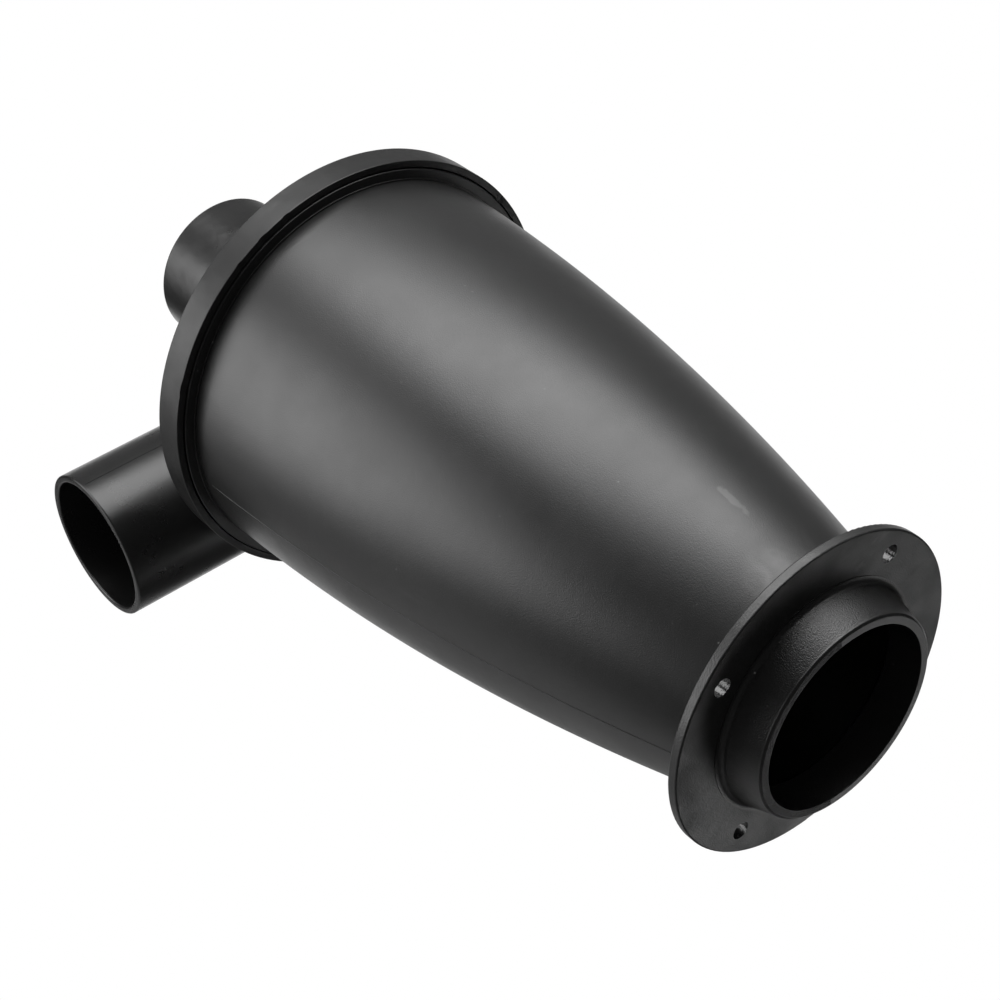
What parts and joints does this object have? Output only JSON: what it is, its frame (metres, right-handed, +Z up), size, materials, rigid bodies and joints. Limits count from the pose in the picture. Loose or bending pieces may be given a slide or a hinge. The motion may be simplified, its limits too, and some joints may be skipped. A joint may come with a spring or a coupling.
{
  "type": "cyclone dust separator",
  "caption": "Moulded plastic cyclone dust separator: barrel-like cone with a screw flange and dust spigot below, and a cap with a snail-shaped side inlet and an axial outlet pipe.",
  "frame": {"origin": "centre of the dust spigot's mouth, on the cyclone's axis, where the part rests", "axes": "+Z up along the cyclone's axis to the outlet pipe, and the inlet pipe runs along X with its mouth at -X"},
  "size_m": [0.157, 0.141, 0.286],
  "materials": {
    "body_plastic": "satin black moulded plastic",
    "grained_plastic": "black moulded plastic with a fine grain",
    "cap_plastic": "smooth black moulded plastic"
  },
  "bodies": {
    "root": {"dust_spigot": "grained_plastic", "bin_flange": "body_plastic", "cone_shell": "body_plastic", "cone_rim": "body_plastic", "cap_skirt": "cap_plastic", "cap_plate": "cap_plastic", "snail_mouth": "cap_plastic", "snail_bend": "cap_plastic", "snail_tail": "cap_plastic", "inlet_pipe": "cap_plastic", "outlet_pipe": "cap_plastic", "vortex_tube": "cap_plastic"}
  },
  "joints": []
}
